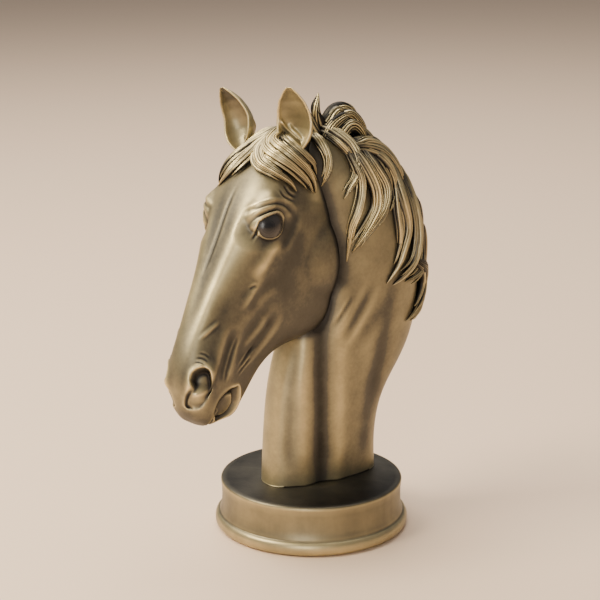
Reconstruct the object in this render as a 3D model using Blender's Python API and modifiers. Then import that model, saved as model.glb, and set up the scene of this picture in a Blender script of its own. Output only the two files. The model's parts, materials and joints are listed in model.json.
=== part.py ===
"""Bronze horse-head bust on a round turned plinth.

The bust is a hollow lost-wax casting: head and neck are two lofts joined in one shell.
Ears, eyes, forelock and the locks of the mane are castings of their own that seat on it.
A stud in the neck's foot plate draws the bust down on the plinth, which is hollow
underneath and holds an iron weight behind a screwed plate and a felt pad.

Axes: +Z up from the table, the neck's front faces -Y, the horse's left side is +X.
The driving sizes below are in millimetres and are scaled to metres as meshes are made.
"""
import math

import bmesh
import bpy
import numpy as np
from mathutils import Matrix, Vector

for old in list(bpy.data.objects):
    bpy.data.objects.remove(old)

MM = 0.001
GAP = 0.3            # clearance left between two seated pieces
WALL = 4.5           # casting wall of the bust
MANE_DEPTH = 6.0     # how far the locks stand off the neck
FORELOCK_DEPTH = 5.0
SEGMENTS = 60        # facets round a turned piece

# ---- plinth ------------------------------------------------------------------
PLINTH_TOP = 33.0
BAND_R = 60.5        # radius of the band at its upper edge
BAND_FOOT_R = 61.5   # radius of the band where it meets the bead
BEAD_R = 64.5
BEAD_H = 9.5
FOOT_R = 62.5
LIFT = 0.5           # the bronze stands this far off the table, on the felt
CAVITY_R = 55.0
CAVITY_TOP = 28.5
RECESS_R = 58.4      # rebate that takes the cover plate and the felt
RECESS_TOP = 4.2
BOSS_RING = 46.0     # circle of the three cover screws
BOSS_R = 5.0

# ---- fastening ----------------------------------------------------------------
STUD_R = 4.0
PIN_R = 2.0
PIN_Y = (-24.0, 30.0)
FOOT_PLATE = (33.6, 40.0)

# ---- head: placed at the poll, nose down and turned to the horse's left ----------
POLL = (0.0, -34.0, 271.0)
YAW, PITCH, ROLL = (math.radians(d) for d in (17, 37, 6))
# Along the head from poll to muzzle: (a, top n, half profile of (l, n), bottom n)
HEAD = (
    (-12, -14, ((8, -14), (14, -20), (17, -32), (17, -48), (14, -62), (8, -70), (4, -73)), -74),
    (0, -5, ((9, -6), (17, -12), (21, -27), (22, -45), (20, -64), (13, -76), (6, -81)), -82),
    (18, 0, ((11, -1), (20, -7), (24, -22), (25, -45), (25, -68), (18, -86), (8, -91)), -89),
    (34, 4, ((13, 3), (23, -3), (26, -20), (27, -46), (28, -76), (20, -95), (9, -100)), -95),
    (50, 5, ((14, 4), (27, -2), (28, -16), (27, -46), (29, -80), (21, -102), (9, -106)), -99),
    (64, 4, ((14, 3), (26, -3), (27, -16), (26, -44), (29, -80), (20, -106), (9, -109)), -100),
    (80, 2, ((12, 1), (21, -4), (24, -19), (25, -44), (26, -79), (17, -103), (8, -105)), -95),
    (98, 0, ((10, -1), (17, -6), (21, -22), (22, -43), (21, -70), (14, -89), (7, -91)), -83),
    (116, -1, ((9, -2), (14, -8), (17, -22), (18, -40), (16, -59), (11, -74), (6, -76)), -73),
    (134, -2, ((8, -3), (12, -9), (15, -21), (15, -37), (14, -51), (10, -64), (6, -68)), -68),
    (150, -3, ((8, -4), (13, -10), (16, -20), (15, -35), (13, -47), (11, -60), (6, -66)), -68),
    (163, -6, ((8, -8), (14, -13), (17, -22), (15, -35), (13, -46), (11, -59), (6, -66)), -68),
    (175, -11, ((8, -13), (13, -17), (16, -26), (15, -36), (13, -46), (10, -56), (6, -62)), -64),
    (184, -20, ((6, -21), (11, -25), (13, -31), (12, -39), (11, -46), (8, -52), (4, -56)), -57),
    (189, -30, ((3, -31), (6, -33), (7, -37), (7, -41), (6, -45), (5, -48), (2, -51)), -51),
)
# Up the neck from foot to poll: (front y, front z, back y, back z, half width)
NECK = (
    (-37, 10, 49, 10, 18.5),
    (-36.5, 34, 48.5, 34, 18.5),
    (-35, 60, 47, 60, 19),
    (-33, 90, 53, 88, 20),
    (-29, 114, 67, 106, 21.5),
    (-20, 140, 77, 128, 23.5),
    (-10, 165, 80, 155, 25),
    (-4, 190, 78, 185, 26),
    (-6, 212, 70, 214, 25),
    (-14, 232, 56, 238, 22),
    (-24, 246, 38, 256, 18),
    (-30, 258, 14, 268, 12),
)
# Half width of the neck from its front (0) to its back (1), as a share of the widest
NECK_SECTION = ((0, 0), (.03, .55), (.14, .86), (.32, 1), (.5, 1), (.68, .93), (.84, .76),
                (.96, .45), (1, 0))

EYE = (63.0, 20.5, -10.0)
EYE_R = 10.5
NOSTRIL = (166.0, 17.0, -20.0)
EAR_BASE = (10.0, 19.0, -18.0)
EAR_TIP = (-19.0, 23.0, 17.0)
# Along an ear: (share of its length, half width)
EAR_WIDTH = ((0, 8), (.18, 10.5), (.4, 12), (.62, 10.5), (.82, 6.5), (.94, 3), (1, 0.8))

# ---- mane and forelock outlines --------------------------------------------------
# Side view (y, z) of the locks; each low point is the tip of one lock
MANE_UPPER = ((-4, 292), (-4, 262), (-3, 250), (0, 236), (4, 251), (8, 257), (13, 250), (14, 240),
              (8, 226), (18, 237), (20, 247), (23, 244), (24, 230), (14, 207), (21, 213), (12, 183),
              (22, 200), (19, 190), (30, 207), (36, 217), (38, 226), (50, 262), (44, 292))
MANE_MIDDLE = ((51, 261), (39, 226), (40, 215), (45, 223), (47, 195), (50, 206), (53, 190), (39, 168),
               (56, 178), (62, 186), (95, 190), (84, 250))
MANE_LOWER = ((95, 189), (63, 185), (57, 177), (50, 166), (62, 170), (65, 158), (58, 140), (70, 148),
              (78, 126), (97, 124))
MANE_RIGHT = ((-4, 292), (2, 258), (22, 244), (40, 230), (56, 206), (66, 176), (68, 150), (74, 128),
              (97, 124), (95, 190), (84, 250), (44, 292))
CREST_SPLIT = (70.0, 214.0)      # the crest is cast in two lengths that meet here
CREST_HALF = 9.0
# Outline over the brow: (a along the head, s down from the parting)
FORELOCK_LEFT = ((-4, -8), (24, -8), (29, 3), (30, 10), (31, 18), (33, 28), (31, 35), (27, 28),
                 (24, 31), (24, 40), (22, 47), (20, 38), (20, 29), (18, 20),
                 (8, 10), (-4, 5))
FORELOCK_RIGHT = ((-4, -8), (24, -8), (30, 0), (38, 5), (46, 11), (38, 13), (30, 20), (24, 30),
                  (22, 34), (20, 27), (17, 19), (8, 10), (-4, 5))

PARTS = bpy.data.collections.new("bronze_horse_bust")
CUTTERS = bpy.data.collections.new("cutters")
bpy.context.scene.collection.children.link(PARTS)
bpy.context.scene.collection.children.link(CUTTERS)


# ---- general helpers ---------------------------------------------------------------
def head_axes():
    """Unit vectors of the head: along it to the muzzle, to its left, and up out of its brow."""
    forward = np.array((math.sin(YAW), -math.cos(YAW), 0))
    left = np.array((math.cos(YAW), math.sin(YAW), 0))
    up = np.array((0, 0, 1))
    along = math.sin(PITCH) * forward - math.cos(PITCH) * up
    normal = math.cos(PITCH) * forward + math.sin(PITCH) * up
    return (along * math.cos(ROLL) + left * math.sin(ROLL),
            left * math.cos(ROLL) - along * math.sin(ROLL), normal)


ALONG, LEFT, NORMAL = head_axes()


def on_head(a, l, n):
    """A point given by its head coordinates, in millimetres."""
    return np.array(POLL) + a * ALONG + l * LEFT + n * NORMAL


def add(mesh, name, collection=CUTTERS):
    """Put a mesh in the scene as an object; cutters stay out of the model."""
    item = bpy.data.objects.new(name, mesh)
    collection.objects.link(item)
    if collection is CUTTERS:
        item.hide_render = True
        item.display_type = "WIRE"
    return item


def bake(item):
    """Apply an object's modifiers."""
    graph = bpy.context.evaluated_depsgraph_get()
    mesh = bpy.data.meshes.new_from_object(item.evaluated_get(graph))
    item.modifiers.clear()
    item.data = mesh
    return item


def copy(item, name):
    """A cutter copy of an object, with a mesh of its own."""
    return add(item.data.copy(), name)


def combine(item, other, operation):
    """Cut, join or intersect an object with another, exactly."""
    step = item.modifiers.new(operation, "BOOLEAN")
    step.operation = operation
    step.solver = "EXACT"
    step.object = other
    return bake(item)


def grown(item, distance, name):
    """A cutter copy whose skin is moved outwards by a distance."""
    bigger = copy(item, name)
    step = bigger.modifiers.new("grow", "DISPLACE")
    step.strength = distance * MM
    step.mid_level = 0
    return bake(bigger)


def loft(name, rings, levels=1):
    """Closed skin through rings of points, rounded by subdivision."""
    bm = bmesh.new()
    rows = [[bm.verts.new(Vector(p) * MM) for p in ring] for ring in rings]
    count = len(rows[0])
    for low, high in zip(rows, rows[1:]):
        for i in range(count):
            j = (i + 1) % count
            bm.faces.new((low[i], low[j], high[j], high[i]))
    bm.faces.new(rows[0][::-1])
    bm.faces.new(rows[-1])
    bmesh.ops.recalc_face_normals(bm, faces=bm.faces)
    mesh = bpy.data.meshes.new(name)
    bm.to_mesh(mesh)
    bm.free()
    item = add(mesh, name)
    if levels:
        step = item.modifiers.new("round", "SUBSURF")
        step.levels = levels
        step.render_levels = levels
        bake(item)
    return item


def ball(name, centre, radii, axes=None):
    """Ellipsoid with its radii along three axes."""
    bm = bmesh.new()
    bmesh.ops.create_uvsphere(bm, u_segments=20, v_segments=12, radius=1)
    frame = Matrix(axes if axes is not None else np.eye(3)).transposed()
    place = Matrix.Translation(Vector(centre) * MM) @ (frame @ Matrix.Diagonal(Vector(radii) * MM)).to_4x4()
    bmesh.ops.transform(bm, matrix=place, verts=bm.verts)
    if place.determinant() < 0:
        bmesh.ops.reverse_faces(bm, faces=bm.faces)
    mesh = bpy.data.meshes.new(name)
    bm.to_mesh(mesh)
    bm.free()
    return add(mesh, name)


def post(name, x, y, low, high, radius, segments=32):
    """Upright cylinder between two heights."""
    bm = bmesh.new()
    bmesh.ops.create_cone(bm, cap_ends=True, segments=segments, radius1=radius * MM,
                          radius2=radius * MM, depth=(high - low) * MM)
    bmesh.ops.translate(bm, verts=bm.verts, vec=Vector((x, y, (low + high) / 2)) * MM)
    mesh = bpy.data.meshes.new(name)
    bm.to_mesh(mesh)
    bm.free()
    return add(mesh, name)


def turned(name, profile):
    """Solid of revolution about Z from a closed profile that runs down its outer side."""
    bm = bmesh.new()
    points = [bm.verts.new((r * MM, 0, z * MM)) for r, z in profile]
    for i, point in enumerate(points):
        bm.edges.new((point, points[(i + 1) % len(points)]))
    mesh = bpy.data.meshes.new(name)
    bm.to_mesh(mesh)
    bm.free()
    item = add(mesh, name)
    step = item.modifiers.new("turn", "SCREW")
    step.steps = SEGMENTS
    step.render_steps = SEGMENTS
    step.use_merge_vertices = True
    step.merge_threshold = 0.00001
    return bake(item)


def slab(name, outline, origin, right, up, low, high):
    """Flat outline drawn along two axes and made thick along their normal."""
    curve = bpy.data.curves.new(name, "CURVE")
    curve.dimensions = "2D"
    curve.fill_mode = "BOTH"
    curve.extrude = (high - low) / 2 * MM
    spline = curve.splines.new("POLY")
    spline.points.add(len(outline) - 1)
    for point, (u, v) in zip(spline.points, outline):
        point.co = (u * MM, v * MM, 0, 1)
    spline.use_cyclic_u = True
    flat = add(curve, name + "_outline")
    graph = bpy.context.evaluated_depsgraph_get()
    mesh = bpy.data.meshes.new_from_object(flat.evaluated_get(graph))
    bpy.data.objects.remove(flat)
    right, up = Vector(right), Vector(up)
    through = right.cross(up)
    frame = Matrix((right, up, through)).transposed().to_4x4()
    middle = Vector(origin) * MM + through * ((low + high) / 2 * MM)
    bm = bmesh.new()
    bm.from_mesh(mesh)
    bmesh.ops.remove_doubles(bm, verts=bm.verts, dist=0.000001)
    bmesh.ops.transform(bm, matrix=Matrix.Translation(middle) @ frame, verts=bm.verts)
    bmesh.ops.recalc_face_normals(bm, faces=bm.faces)
    bm.to_mesh(mesh)
    bm.free()
    return add(mesh, name)


def largest_body(item):
    """Drop the slivers that a cut leaves beside the main body."""
    bm = bmesh.new()
    bm.from_mesh(item.data)
    left = set(bm.verts)
    bodies = []
    while left:
        front = [left.pop()]
        body = set(front)
        while front:
            vert = front.pop()
            for edge in vert.link_edges:
                other = edge.other_vert(vert)
                if other not in body:
                    body.add(other)
                    front.append(other)
        left -= body
        bodies.append(body)
    bodies.sort(key=len)
    for body in bodies[:-1]:
        bmesh.ops.delete(bm, geom=list(body), context="VERTS")
    bmesh.ops.dissolve_degenerate(bm, dist=0.00001, edges=bm.edges)
    bm.to_mesh(item.data)
    bm.free()
    return item


def material(name, colour, metallic, roughness):
    """Principled material of one sub-part."""
    made = bpy.data.materials.new(name)
    made.use_nodes = True
    shader = made.node_tree.nodes["Principled BSDF"]
    shader.inputs["Base Color"].default_value = (*colour, 1)
    shader.inputs["Metallic"].default_value = metallic
    shader.inputs["Roughness"].default_value = roughness
    return made


FINISHES = {
    "bronze": ((0.36, 0.28, 0.15), 1.0, 0.42),
    "bronze_locks": ((0.50, 0.40, 0.22), 1.0, 0.38),
    "dark_eye": ((0.07, 0.07, 0.07), 0.2, 0.25),
    "steel": ((0.55, 0.55, 0.56), 1.0, 0.35),
    "iron": ((0.12, 0.12, 0.13), 0.8, 0.7),
    "felt": ((0.03, 0.05, 0.04), 0.0, 0.95),
}


def publish(item, name, finish):
    """Make an object a sub-part with its own material, shaded smooth between sharp edges."""
    for holder in list(item.users_collection):
        holder.objects.unlink(item)
    PARTS.objects.link(item)
    item.name = name
    item.data.name = name
    item.hide_render = False
    item.display_type = "TEXTURED"
    item.data.materials.clear()
    item.data.materials.append(material(name + "_" + finish, *FINISHES[finish]))
    item.data.shade_smooth()
    item.data.set_sharp_from_angle(angle=math.radians(35))
    return item


# ---- bust ----------------------------------------------------------------------------
def shrunk(ring, wall):
    """A ring moved in towards its centre by the casting wall."""
    centre = sum(ring) / len(ring)
    return [p + (centre - p) * min(wall / np.linalg.norm(p - centre), 0.8) for p in ring]


def head_rings(rows):
    """Sections of the head, each mirrored about the head's own middle plane."""
    rings = []
    for a, top, side, bottom in rows:
        half = [(0, top), *side, (0, bottom)]
        rings.append([on_head(a, l, n) for l, n in half] + [on_head(a, -l, n) for l, n in half[-2:0:-1]])
    return rings


def neck_rings(rows):
    """Sections of the neck, laid square to its sweep."""
    rings = []
    for front_y, front_z, back_y, back_z, width in rows:
        half = [(width * w, front_y + (back_y - front_y) * t, front_z + (back_z - front_z) * t)
                for t, w in NECK_SECTION]
        rings.append([np.array(p, float) for p in half]
                     + [np.array((-x, y, z), float) for x, y, z in half[-2:0:-1]])
    return rings


def lumps():
    """Brow ridges, cheeks, nostril rims and chin that stand proud of the head's loft."""
    shapes = (("brow", (60, 20, -6), (17, 9, 8)), ("cheek", (50, 17, -72), (33, 13, 33)),
              ("rim", (165, 11, -20), (14, 8, 10)))
    made = []
    for name, (a, l, n), radii in shapes:
        for side in (1, -1):
            made.append(ball(name, on_head(a, l * side, n), radii, (ALONG, LEFT, NORMAL)))
    return made


def make_bust():
    """Outer skin first, kept whole as the shape that the locks seat on, then hollowed."""
    neck = loft("neck", neck_rings(NECK))
    head = loft("head", head_rings(HEAD))
    foot = slab("foot_trim", ((-80, 0), (80, 0), (80, PLINTH_TOP + GAP), (-80, PLINTH_TOP + GAP)),
                (0, 0, 0), (0, 1, 0), (0, 0, 1), -60, 60)
    solid = combine(copy(neck, "solid"), head, "UNION")
    for lump in lumps():
        combine(solid, lump, "UNION")
    combine(solid, foot, "DIFFERENCE")
    standing = combine(grown(neck, MANE_DEPTH, "standing"), grown(head, FORELOCK_DEPTH, "standing_head"), "UNION")
    seat = grown(solid, GAP, "seat")

    shell = copy(solid, "shell")
    head_core = loft("head_core", [shrunk(r, WALL + 0.5) for r in head_rings(HEAD[1:10])], levels=0)
    for side in (1, -1):
        a, l, n = EYE
        boss = ball("eye_boss", on_head(a, l * side, n), (EYE_R + WALL,) * 3)
        combine(head_core, boss, "DIFFERENCE")
        pocket = ball("eye_pocket", on_head(a, l * side, n), (EYE_R + GAP,) * 3)
        combine(shell, pocket, "DIFFERENCE")
        a, l, n = NOSTRIL
        nostril = ball("nostril", on_head(a, l * side, n), (8, 4.5, 5), (ALONG, LEFT, NORMAL))
        combine(shell, nostril, "DIFFERENCE")
    neck_core = loft("neck_core", [shrunk(r, WALL + 0.5) for r in neck_rings(NECK[:-1])], levels=0)
    combine(shell, neck_core, "DIFFERENCE")
    combine(shell, head_core, "DIFFERENCE")
    mouth = slab("mouth", ((152, -45.5), (200, -48), (200, -43.5)), POLL, ALONG, NORMAL, -30, 30)
    combine(shell, mouth, "DIFFERENCE")
    publish(largest_body(shell), "bust_casting", "bronze")
    return seat, standing


def make_eyes():
    """Two plain balls, one in each pocket."""
    for side, name in ((1, "eye_left"), (-1, "eye_right")):
        a, l, n = EYE
        publish(ball(name, on_head(a, l * side, n), (EYE_R,) * 3, (ALONG, LEFT, NORMAL)), name, "dark_eye")


def make_ears(seat):
    """Cupped leaves that open forwards and outwards."""
    cup = [math.radians(d) for d in range(-90, 91, 30)]
    for side, name in ((1, "ear_left"), (-1, "ear_right")):
        base = on_head(EAR_BASE[0], EAR_BASE[1] * side, EAR_BASE[2])
        tip = on_head(EAR_TIP[0], EAR_TIP[1] * side, EAR_TIP[2])
        axis = (tip - base) / np.linalg.norm(tip - base)
        facing = 0.75 * ALONG + 0.65 * side * LEFT + 0.5 * NORMAL
        facing = facing - axis * (facing @ axis)
        facing /= np.linalg.norm(facing)
        across = np.cross(axis, facing)
        rings = []
        for share, width in EAR_WIDTH:
            centre = base + (tip - base) * share - facing * 3 * math.sin(math.pi * share)
            wall = min(2.2, width * 0.45)
            outer = [centre + across * width * math.sin(t) - facing * width * 0.7 * math.cos(t) for t in cup]
            thin = width - wall
            inner = [centre + across * thin * math.sin(t) - facing * (thin * 0.7 * math.cos(t) - 0.4 * wall)
                     for t in cup[::-1]]
            rings.append(outer + inner)
        ear = combine(loft(name, rings), seat, "DIFFERENCE")
        publish(largest_body(ear), name, "bronze")


def make_mane(seat, standing):
    """Locks of the mane: each is a patch of the standing skin inside its side outline."""
    along_y, up_z = (0, 1, 0), (0, 0, 1)
    side_pieces = (("mane_upper_left", MANE_UPPER, 1), ("mane_middle_left", MANE_MIDDLE, 1),
                   ("mane_lower_left", MANE_LOWER, 1), ("mane_right", MANE_RIGHT, -1))
    inner, outer = CREST_HALF + GAP, 60
    for name, outline, side in side_pieces:
        low, high = (inner, outer) if side > 0 else (-outer, -inner)
        lock = slab(name, outline, (0, 0, 0), along_y, up_z, low, high)
        combine(lock, standing, "INTERSECT")
        combine(lock, seat, "DIFFERENCE")
        publish(largest_body(lock), name, "bronze_locks")
    y, z = CREST_SPLIT
    crests = (("mane_crest_upper", ((2, 292), (2, 240), (y - 20, z - 20), (y + 30, z + 30), (60, 292))),
              ("mane_crest_lower", ((y - 19, z - 21), (60, 122), (99, 122), (y + 31, z + 29))))
    for name, outline in crests:
        strip = slab(name, outline, (0, 0, 0), along_y, up_z, -CREST_HALF, CREST_HALF)
        combine(strip, standing, "INTERSECT")
        combine(strip, seat, "DIFFERENCE")
        publish(largest_body(strip), name, "bronze_locks")
    tuft_rows = ((4, 258, 9, 5), (8, 268, 10, 5), (8, 276, 8, 4), (5, 283, 4, 2.5), (4, 289, 1.5, 1.2))
    turns = [math.radians(d) for d in range(0, 360, 30)]
    tuft = loft("tuft", [[np.array((wx * math.sin(t), y + wy * math.cos(t), z)) for t in turns]
                         for y, z, wy, wx in tuft_rows])
    combine(tuft, grown(standing, 3 * GAP, "tuft_seat"), "DIFFERENCE")
    publish(largest_body(tuft), "mane_poll_tuft", "bronze_locks")


def make_forelock(seat, standing):
    """Two falls of hair that part on the brow, cut to the head's own skin."""
    for name, outline, side in (("forelock_left", FORELOCK_LEFT, 1), ("forelock_right", FORELOCK_RIGHT, -1)):
        down = (side * LEFT - NORMAL) / math.sqrt(2)
        fall = slab(name, outline, POLL, ALONG, down, -60, 60)
        half = slab("half", ((-60, GAP), (60, GAP), (60, 60), (-60, 60)), POLL, ALONG, side * LEFT, -80, 80)
        combine(fall, half, "INTERSECT")
        combine(fall, standing, "INTERSECT")
        combine(fall, seat, "DIFFERENCE")
        publish(largest_body(fall), name, "bronze_locks")


# ---- plinth and its hardware -----------------------------------------------------------
def bead_profile():
    """The plinth's outer side, from its top edge down to the foot of the bead."""
    band = [(BAND_R - 1.2, PLINTH_TOP), (BAND_R - 0.2, PLINTH_TOP - 0.6), (BAND_R, PLINTH_TOP - 1.6),
            (BAND_R - 0.6, 24), (BAND_R - 0.4, 16), (BAND_FOOT_R - 0.3, 11), (BAND_FOOT_R, BEAD_H)]
    middle = (BEAD_H + LIFT) / 2
    reach = (BEAD_H - LIFT) / 2
    arc = [(BEAD_R - 3 + 3 * math.cos(math.radians(d)), middle + reach * math.sin(math.radians(d)))
           for d in range(75, -91, -27)]
    return band + arc + [(FOOT_R - 2, LIFT)]


def screw_places():
    """Centres of the three cover screws."""
    return [(BOSS_RING * math.cos(t), BOSS_RING * math.sin(t))
            for t in (math.radians(30 + 120 * k) for k in range(3))]


def make_plinth():
    """Turned shell with a central stud hole, two pin holes and three screw bosses."""
    hole = STUD_R + GAP
    inside = [(RECESS_R, LIFT), (RECESS_R, RECESS_TOP), (CAVITY_R, RECESS_TOP), (CAVITY_R, CAVITY_TOP - 2),
              (CAVITY_R - 2, CAVITY_TOP), (hole, CAVITY_TOP), (hole, PLINTH_TOP)]
    plinth = turned("plinth", bead_profile() + inside)
    for x, y in screw_places():
        combine(plinth, post("boss", x, y, RECESS_TOP, CAVITY_TOP + 1, BOSS_R), "UNION")
        combine(plinth, post("tapping", x, y, RECESS_TOP - 2, 18, 1.5 + GAP), "DIFFERENCE")
    for y in PIN_Y:
        combine(plinth, post("pin_hole", 0, y, CAVITY_TOP - 1, PLINTH_TOP + 1, PIN_R + GAP), "DIFFERENCE")
    publish(plinth, "plinth_casting", "bronze")

    weight = turned("weight", [(12, 24), (38, 24), (38, 8), (12, 8)])
    publish(weight, "plinth_weight", "iron")
    cover = post("cover", 0, 0, 2.7, 3.9, RECESS_R - 0.4, SEGMENTS)
    for number, (x, y) in enumerate(screw_places(), 1):
        combine(cover, post("clearance", x, y, 1, 6, 1.5 + GAP), "DIFFERENCE")
        screw = post("screw", x, y, 2.4, 15, 1.5, segments=16)
        publish(screw, "cover_screw_%d" % number, "steel")
    publish(cover, "cover_plate", "steel")
    publish(post("felt", 0, 0, 0, 2.0, RECESS_R - 0.4, SEGMENTS), "felt_pad", "felt")


def make_fastening():
    """Foot plate in the neck, stud, washer, nut and the two pins that stop it turning."""
    low, high = FOOT_PLATE
    rows = [(-36, low, 48, low, 18.5), (-36, high, 48, high, 18.5)]
    plate = loft("plate", [shrunk(r, WALL + 1.8) for r in neck_rings(rows)], levels=0)
    combine(plate, post("stud_hole", 0, 0, low - 1, high + 1, STUD_R + GAP), "DIFFERENCE")
    for y, name in zip(PIN_Y, ("locating_pin_front", "locating_pin_rear")):
        combine(plate, post("pin_hole", 0, y, low - 1, high + 1, PIN_R + GAP), "DIFFERENCE")
        publish(post(name, 0, y, CAVITY_TOP + 0.5, high - 1, PIN_R), name, "steel")
    publish(plate, "neck_foot_plate", "steel")
    publish(post("stud", 0, 0, 16, high + 4, STUD_R), "mounting_stud", "steel")
    washer = post("washer", 0, 0, CAVITY_TOP - GAP - 1.6, CAVITY_TOP - GAP, 8.0)
    combine(washer, post("washer_hole", 0, 0, 20, 34, STUD_R + GAP), "DIFFERENCE")
    nut_top = CAVITY_TOP - 2 * GAP - 1.6
    nut = post("nut", 0, 0, nut_top - 6.5, nut_top, 7.5, segments=6)
    combine(nut, post("nut_hole", 0, 0, 10, 34, STUD_R + GAP), "DIFFERENCE")
    publish(washer, "stud_washer", "steel")
    publish(nut, "stud_nut", "steel")


seat_shape, standing_shape = make_bust()
make_eyes()
make_ears(seat_shape)
make_mane(seat_shape, standing_shape)
make_forelock(seat_shape, standing_shape)
make_plinth()
make_fastening()
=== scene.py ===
"""Looks of the bronze horse-head bust: sculpted skin, eyes, ears, hair, plinth and patina."""
import json
import math
import random

import bmesh
import bpy
import numpy as np
from mathutils import Matrix, Vector
from mathutils.bvhtree import BVHTree


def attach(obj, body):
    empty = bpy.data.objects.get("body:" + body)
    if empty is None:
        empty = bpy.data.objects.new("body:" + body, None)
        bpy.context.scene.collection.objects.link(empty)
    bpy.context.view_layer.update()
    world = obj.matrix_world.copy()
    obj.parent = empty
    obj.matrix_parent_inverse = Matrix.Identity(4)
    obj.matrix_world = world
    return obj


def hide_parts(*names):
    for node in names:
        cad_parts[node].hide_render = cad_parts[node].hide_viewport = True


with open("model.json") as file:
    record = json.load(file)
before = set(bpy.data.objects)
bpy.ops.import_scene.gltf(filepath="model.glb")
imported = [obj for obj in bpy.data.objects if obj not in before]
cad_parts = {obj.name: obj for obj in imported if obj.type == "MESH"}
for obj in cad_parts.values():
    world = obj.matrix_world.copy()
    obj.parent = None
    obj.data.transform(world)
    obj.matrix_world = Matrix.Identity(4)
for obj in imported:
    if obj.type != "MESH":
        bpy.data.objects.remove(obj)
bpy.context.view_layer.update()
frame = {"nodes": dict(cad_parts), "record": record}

MM = 0.001
CHANCE = random.Random(7)

# ---- main forms, in millimetres; head, neck and eyes are set out as in the CAD ----
POLL = np.array((0.0, -34.0, 271.0))
YAW, PITCH, ROLL = (math.radians(d) for d in (17, 37, 6))
# Along the head from poll to muzzle: (a, top n, half profile of (l, n), bottom n)
HEAD = (
    (-12, -14, ((8, -14), (14, -20), (17, -32), (17, -48), (14, -62), (8, -70), (4, -73)), -74),
    (0, -9, ((9, -9), (17, -13), (21, -27), (22, -45), (20, -64), (13, -76), (6, -81)), -82),
    (18, -1, ((11, -2), (20, -8), (24, -22), (25, -45), (25, -66), (17, -82), (8, -87)), -85),
    (34, 4, ((13, 3), (23, -3), (26, -20), (27, -46), (26, -71), (18, -86), (8, -89)), -85),
    (50, 5, ((14, 4), (27, -2), (28, -16), (27, -46), (27, -75), (19, -93), (9, -97)), -91),
    (64, 4, ((14, 3), (26, -3), (27, -16), (26, -44), (27, -78), (20, -100), (9, -103)), -96),
    (80, 2, ((12, 1), (21, -4), (24, -19), (25, -44), (26, -80), (19, -106), (9, -108)), -98),
    (98, 0, ((10, -1), (17, -6), (21, -22), (22, -43), (22, -73), (16, -96), (8, -98)), -88),
    (116, -1, ((9, -2), (14, -8), (17, -22), (18, -40), (16, -59), (11, -74), (6, -76)), -73),
    (134, -2, ((8, -3), (12, -9), (15, -21), (15, -37), (14, -51), (10, -64), (6, -68)), -68),
    (150, -3, ((8, -4), (13, -10), (16, -20), (15, -35), (13, -47), (11, -60), (6, -66)), -68),
    (163, -6, ((8, -8), (14, -13), (16, -22), (14, -35), (13, -46), (11, -58), (6, -64)), -66),
    (173, -11, ((8, -13), (13, -17), (15, -26), (14, -36), (12, -46), (10, -55), (5, -60)), -61),
    (181, -18, ((7, -19), (11, -23), (13, -29), (13, -36), (11, -42), (8, -46), (4, -49)), -50),
    (187, -28, ((3, -29), (6, -31), (8, -34), (8, -37), (7, -40), (5, -43), (2, -45)), -45),
)
# Up the neck from foot to poll: (front y, front z, back y, back z, half width)
NECK = (
    (-37, 10, 49, 10, 18.5),
    (-36.5, 34, 48.5, 34, 18.5),
    (-35, 60, 47, 60, 19),
    (-33, 90, 53, 88, 20),
    (-29, 114, 67, 106, 21.5),
    (-20, 140, 77, 128, 23.5),
    (-10, 165, 80, 155, 25),
    (-4, 190, 78, 185, 26),
    (-6, 212, 70, 214, 25),
    (-14, 232, 56, 238, 22),
    (-24, 246, 38, 256, 18),
    (-30, 258, 14, 268, 12),
)
# Half width of the neck from its front (0) to its back (1), as a share of the widest
NECK_SECTION = ((0, 0), (.03, .55), (.14, .86), (.32, 1), (.5, 1), (.68, .93), (.84, .76),
                (.96, .45), (1, 0))
FOOT_Z = 33.3
HEAD_VOXEL = 0.85
NECK_VOXEL = 1.2
EAR_VOXEL = 0.5
AXIS_N = -40.0       # the head's own axis, which angles round the head are measured about

EYE = (61.0, 18.2, -13.5)
EYE_R = 11.0
EYE_OUT = (0.12, 0.93, 0.35)       # which way the lids face: along, out, up
EYE_FRONT = (0.66, 0, 0.75)        # towards the opening's front corner, and towards the upper lid
EYE_UPPER = (-0.75, 0, 0.66)
PUPIL_OUT = (0.30, 0.84, 0.46)
PUPIL_EDGE = (6, 40)               # degrees over which the pupil's dark fades out
EYE_HALF_LENGTH = (11.6, 11.2)     # of the opening, in front of its middle and behind
EYE_HALF_HEIGHT = 7.1


def head_axes():
    """Unit vectors of the head: along it to the muzzle, to its left, and up out of its brow."""
    forward = np.array((math.sin(YAW), -math.cos(YAW), 0))
    left = np.array((math.cos(YAW), math.sin(YAW), 0))
    up = np.array((0, 0, 1))
    along = math.sin(PITCH) * forward - math.cos(PITCH) * up
    normal = math.cos(PITCH) * forward + math.sin(PITCH) * up
    return (along * math.cos(ROLL) + left * math.sin(ROLL),
            left * math.cos(ROLL) - along * math.sin(ROLL), normal)


HEAD_AXES = ALONG, LEFT, NORMAL = head_axes()


def on_head(a, l, n):
    """A point given by its head coordinates."""
    return POLL + a * ALONG + l * LEFT + n * NORMAL


def on_side(mark, side):
    """A point given by its head coordinates on the left side, or mirrored to the right."""
    a, l, n = mark
    return on_head(a, l * side, n)


def toward(heading, side):
    """A direction given along the head's axes on the left side, or mirrored to the right."""
    a, l, n = heading
    return a * ALONG + l * side * LEFT + n * NORMAL


def unit(vector):
    """The same direction at unit length."""
    return vector / np.linalg.norm(vector)


def unit_rows(vectors):
    """Each row at unit length."""
    return vectors / np.maximum(np.linalg.norm(vectors, axis=1), 1e-9)[:, None]


def square_to(vector, *axes):
    """Unit vector nearest to a direction that is square to unit axes."""
    return unit(vector - sum(axis * (vector @ axis) for axis in axes))


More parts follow.
